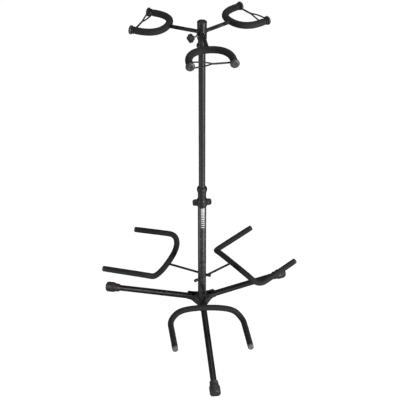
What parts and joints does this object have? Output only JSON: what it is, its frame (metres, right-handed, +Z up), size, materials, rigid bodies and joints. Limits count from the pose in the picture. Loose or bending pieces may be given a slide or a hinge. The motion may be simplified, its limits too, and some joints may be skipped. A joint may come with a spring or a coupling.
{
  "type": "guitar rack",
  "caption": "Free-standing tripod guitar rack: telescoping column, swivelling head with strapped neck yokes, and foam-covered cradles on rods through the lower tube.",
  "frame": {"origin": "on the floor, at the middle of the overall footprint box; the axis of the centre column stands at X -0.12 mm, Y +48.56 mm", "axes": "+Z up along the column; the front leg, cradle and yoke point along -Y; +X is to the right seen from the front"},
  "size_m": [0.6122, 0.5878, 1.0445],
  "materials": {
    "tube_paint": "satin black powder coat",
    "rod_paint": "satin black powder coat",
    "hub_paint": "black powder coat on cast metal",
    "foam_black": "closed-cell foam sleeve, fine open texture",
    "foot_rubber": "moulded black rubber",
    "cap_rubber": "moulded black rubber, slight sheen",
    "strap_rubber": "smooth stretch rubber",
    "plastic_black": "moulded black nylon",
    "end_cap_grey": "worn dark grey end plug",
    "zinc_steel": "zinc plated",
    "natural_nylon": "natural nylon",
    "label_silver": "plain silver foil label",
    "band_dark_red": "dark red plastic band"
  },
  "bodies": {
    "base": {"lower_tube": "tube_paint", "tube_insert": "zinc_steel", "clutch_bushing": "plastic_black", "clutch_ring": "foot_rubber", "tube_label": "label_silver", "base_hub": "hub_paint", "hub_bolt": "zinc_steel", "leg_pivot_rivets": "zinc_steel"},
    "clutch_wing": {"clutch_wing_nut": "plastic_black"},
    "upper_column": {"upper_tube": "tube_paint", "upper_tube_guide": "natural_nylon", "head_collar": "plastic_black"},
    "head": {"head_sleeve": "tube_paint", "head_cap": "plastic_black", "front_arm": "rod_paint", "front_yoke_core": "rod_paint", "front_yoke_foam": "foam_black", "front_yoke_caps": "cap_rubber", "front_strap": "strap_rubber", "right_arm": "rod_paint", "right_yoke_core": "rod_paint", "right_yoke_foam": "foam_black", "right_yoke_caps": "cap_rubber", "right_strap": "strap_rubber", "left_arm": "rod_paint", "left_yoke_core": "rod_paint", "left_yoke_foam": "foam_black", "left_yoke_caps": "cap_rubber", "left_strap": "strap_rubber"},
    "thumb_knob": {"knob": "plastic_black", "knob_screw": "zinc_steel"},
    "front_leg": {"front_leg": "tube_paint", "front_foot": "foot_rubber"},
    "front_cradle": {"front_cradle_core": "rod_paint", "front_cradle_foam": "foam_black", "front_cradle_rod": "rod_paint", "front_cradle_rod_cap": "foot_rubber", "front_cradle_end_caps": "end_cap_grey"},
    "right_leg": {"right_leg": "tube_paint", "right_foot": "foot_rubber"},
    "right_cradle": {"right_cradle_core": "rod_paint", "right_cradle_foam": "foam_black", "right_cradle_rod": "rod_paint", "right_cradle_rod_cap": "foot_rubber", "right_cradle_end_caps": "end_cap_grey"},
    "left_leg": {"left_leg": "tube_paint", "left_foot": "foot_rubber", "left_leg_band": "band_dark_red"},
    "left_cradle": {"left_cradle_core": "rod_paint", "left_cradle_foam": "foam_black", "left_cradle_rod": "rod_paint", "left_cradle_rod_cap": "foot_rubber", "left_cradle_end_caps": "end_cap_grey"}
  },
  "joints": [
    {"name": "height_slide", "type": "slide", "parent": "base", "child": "upper_column", "axis": [0, 0, 1], "range_m": [-0.185, 0.04]},
    {"name": "clutch_turn", "type": "hinge", "parent": "base", "child": "clutch_wing", "pos_m": [-0.00012, 0.04856, 0.4625], "axis": [0, 0, 1], "range_deg": [0, 120]},
    {"name": "head_swivel", "type": "hinge", "parent": "upper_column", "child": "head", "pos_m": [-0.00012, 0.04856, 1], "axis": [0, 0, 1], "continuous": true},
    {"name": "knob_turn", "type": "hinge", "parent": "head", "child": "thumb_knob", "pos_m": [-0.03199, 0.0288, 1.0075], "axis": [-0.8499, -0.527, 0], "continuous": true},
    {"name": "front_leg_fold", "type": "hinge", "parent": "base", "child": "front_leg", "pos_m": [-0.00012, 0.01056, 0.07788], "axis": [1, 0, 0], "range_deg": [0, 77]},
    {"name": "right_leg_fold", "type": "hinge", "parent": "base", "child": "right_leg", "pos_m": [0.03279, 0.06756, 0.07788], "axis": [-0.5, 0.866, 0], "range_deg": [0, 77]},
    {"name": "left_leg_fold", "type": "hinge", "parent": "base", "child": "left_leg", "pos_m": [-0.03303, 0.06756, 0.07788], "axis": [-0.5, -0.866, 0], "range_deg": [0, 77]},
    {"name": "front_cradle_turn", "type": "hinge", "parent": "base", "child": "front_cradle", "pos_m": [-0.00012, 0.04856, 0.151], "axis": [0, -1, 0], "range_deg": [-60, 60]},
    {"name": "right_cradle_turn", "type": "hinge", "parent": "base", "child": "right_cradle", "pos_m": [-0.00012, 0.04856, 0.169], "axis": [0.866, 0.5, 0], "range_deg": [-60, 60]},
    {"name": "left_cradle_turn", "type": "hinge", "parent": "base", "child": "left_cradle", "pos_m": [-0.00012, 0.04856, 0.186], "axis": [-0.866, 0.5, 0], "range_deg": [-60, 60]}
  ]
}
